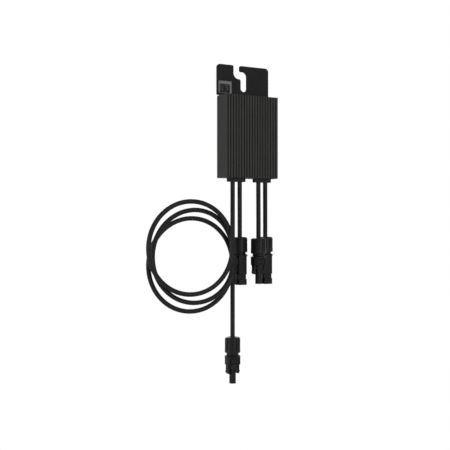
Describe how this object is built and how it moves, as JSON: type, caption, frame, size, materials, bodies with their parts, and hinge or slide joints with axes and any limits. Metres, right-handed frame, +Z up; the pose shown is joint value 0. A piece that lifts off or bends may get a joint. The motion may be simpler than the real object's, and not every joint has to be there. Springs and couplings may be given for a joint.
{
  "type": "power optimizer",
  "caption": "Black finned DC power optimizer for a solar panel: hooked hanger plate, cable glands, a coiled long lead and short leads that end in plug connectors.",
  "frame": {"origin": "middle of the round bolt seat of the hanging slot, on the back face of the hanger plate", "axes": "+X to the right seen from the front, +Y from the front to the back, out of the plate's back face, +Z up along the height"},
  "size_m": [0.1871, 0.04, 0.3803],
  "materials": {
    "coated_casting": "black powder coat on a cast housing, satin",
    "coated_sheet": "black coat on a flat sheet, satin",
    "black_rubber": "matt",
    "screw_steel": "plain",
    "board_laminate": "solder mask",
    "compound": "poured silicone",
    "component_case": "moulded case",
    "pad": "soft pad",
    "ferrite": "sintered, matt",
    "copper": "bare copper wire",
    "capacitor_case": "moulded case",
    "contact_metal": "tin plated",
    "cable_jacket": "cross-linked jacket, satin",
    "connector_plastic": "moulded, satin",
    "collet_plastic": "moulded"
  },
  "bodies": {
    "root": {"heat_sink_housing": "coated_casting", "hanger_plate": "coated_sheet", "back_gasket": "black_rubber", "cover_screws": "screw_steel", "gland_left": "black_rubber", "gland_right": "black_rubber", "circuit_board": "board_laminate", "board_screws": "screw_steel", "sealing_compound": "compound", "switching_transistors": "component_case", "thermal_pad": "pad", "inductor_core": "ferrite", "inductor_winding": "copper", "input_capacitors": "capacitor_case", "output_capacitors": "capacitor_case", "control_chip": "component_case", "wire_terminals": "contact_metal", "conductor_tails": "copper", "lead1_cable_upper": "cable_jacket", "lead1_coil": "cable_jacket", "lead1_cable_lower": "cable_jacket", "lead2_cable": "cable_jacket", "lead3_cable": "cable_jacket", "lead4_cable": "cable_jacket", "lead1_cap_nut": "connector_plastic", "lead1_collet": "collet_plastic", "lead1_cable_seal": "black_rubber", "lead1_body": "connector_plastic", "lead1_contact": "contact_metal", "lead2_cap_nut": "connector_plastic", "lead2_collet": "collet_plastic", "lead2_cable_seal": "black_rubber", "lead2_body": "connector_plastic", "lead2_contact": "contact_metal", "lead3_cap_nut": "connector_plastic", "lead3_collet": "collet_plastic", "lead3_cable_seal": "black_rubber", "lead3_body": "connector_plastic", "lead3_contact": "contact_metal", "lead4_cap_nut": "connector_plastic", "lead4_collet": "collet_plastic", "lead4_cable_seal": "black_rubber", "lead4_body": "connector_plastic", "lead4_contact": "contact_metal", "lead1_probe_ring": "black_rubber", "lead3_probe_ring": "black_rubber"}
  },
  "joints": []
}
